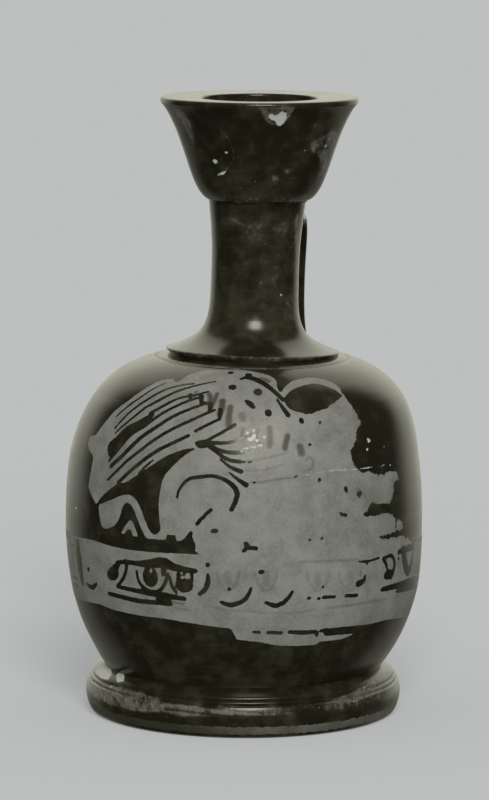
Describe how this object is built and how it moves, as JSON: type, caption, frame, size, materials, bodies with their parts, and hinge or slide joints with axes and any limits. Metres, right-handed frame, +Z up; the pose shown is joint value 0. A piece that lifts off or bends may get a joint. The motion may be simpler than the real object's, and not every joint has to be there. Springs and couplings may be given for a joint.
{
  "type": "squat oil flask",
  "caption": "Small ceramic oil flask with a closed rounded body on a ring foot, a slender collared neck, a calyx mouth with a broad flat lip and a strap handle behind.",
  "frame": {"origin": "centre of the body's axis on the plane that the foot rests on", "axes": "+Z up along the body's axis, -Y towards the painted side, +Y towards the handle"},
  "size_m": [0.093, 0.093, 0.16],
  "materials": {
    "black_gloss": "thin black slip fired to a gloss, worn and scratched",
    "bare_clay": "matte reserved clay, smoothed, with fine brush lines over it"
  },
  "bodies": {
    "root": {"foot": "black_gloss", "body": "black_gloss", "collar": "black_gloss", "neck": "black_gloss", "mouth": "black_gloss", "handle": "black_gloss"}
  },
  "joints": []
}
